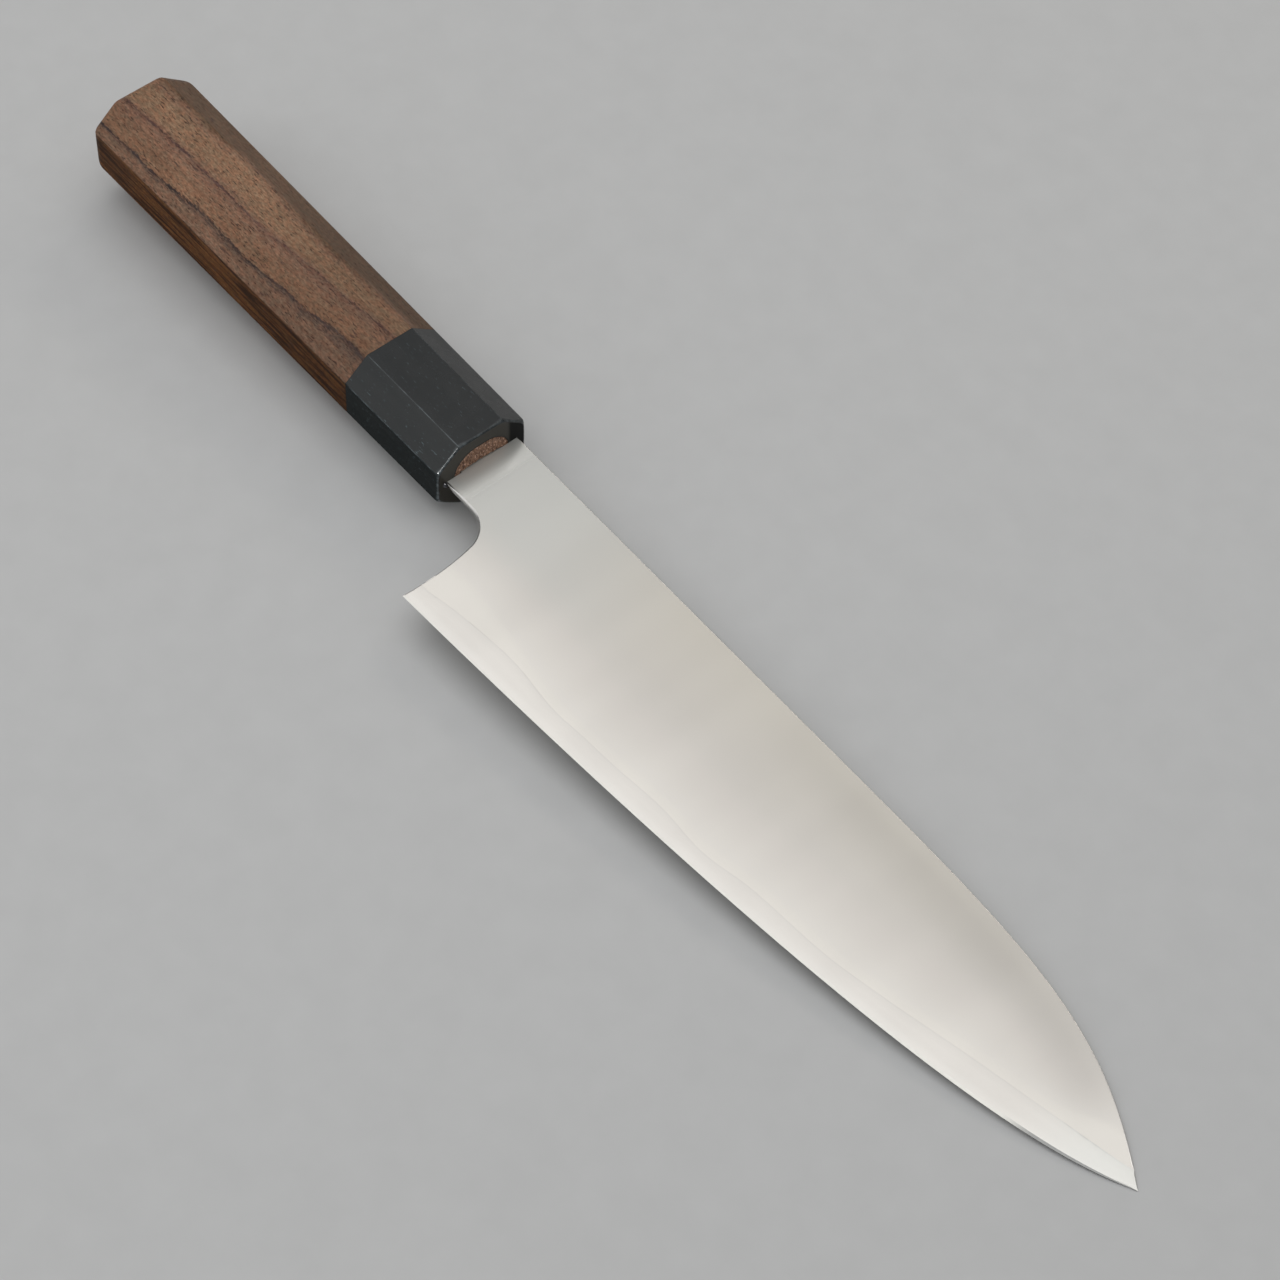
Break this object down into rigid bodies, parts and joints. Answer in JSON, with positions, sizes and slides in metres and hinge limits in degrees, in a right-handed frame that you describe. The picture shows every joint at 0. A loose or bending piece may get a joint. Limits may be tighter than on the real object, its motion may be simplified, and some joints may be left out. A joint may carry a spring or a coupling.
{
  "type": "chef knife",
  "caption": "Chef knife with a layered steel blade on a hidden tang, a black horn ferrule and an octagonal wooden handle.",
  "frame": {"origin": "centre of the ferrule's front face, where the blade's shoulders seat and the tang enters", "axes": "+X along the handle's axis towards the tip, +Y towards the spine (the cutting edge is at -Y), +Z out of the blade's right side"},
  "size_m": [0.3639, 0.0511, 0.0234],
  "materials": {
    "core_steel": "hardened tool steel, fine satin, polished along the cutting edge",
    "clad_steel": "soft stainless steel, satin, ground from spine to edge",
    "black_horn": "black horn, smooth satin gloss",
    "handle_wood": "reddish brown wood with dark streaks, sanded and lightly oiled",
    "dowel_wood": "rough end grain",
    "adhesive": "dark set adhesive"
  },
  "bodies": {
    "root": {"blade_core": "core_steel", "right_cladding": "clad_steel", "left_cladding": "clad_steel", "ferrule": "black_horn", "handle_body": "handle_wood", "handle_dowel": "dowel_wood", "dowel_adhesive": "adhesive", "tang_bedding": "adhesive", "adhesive_bead": "adhesive"}
  },
  "joints": []
}
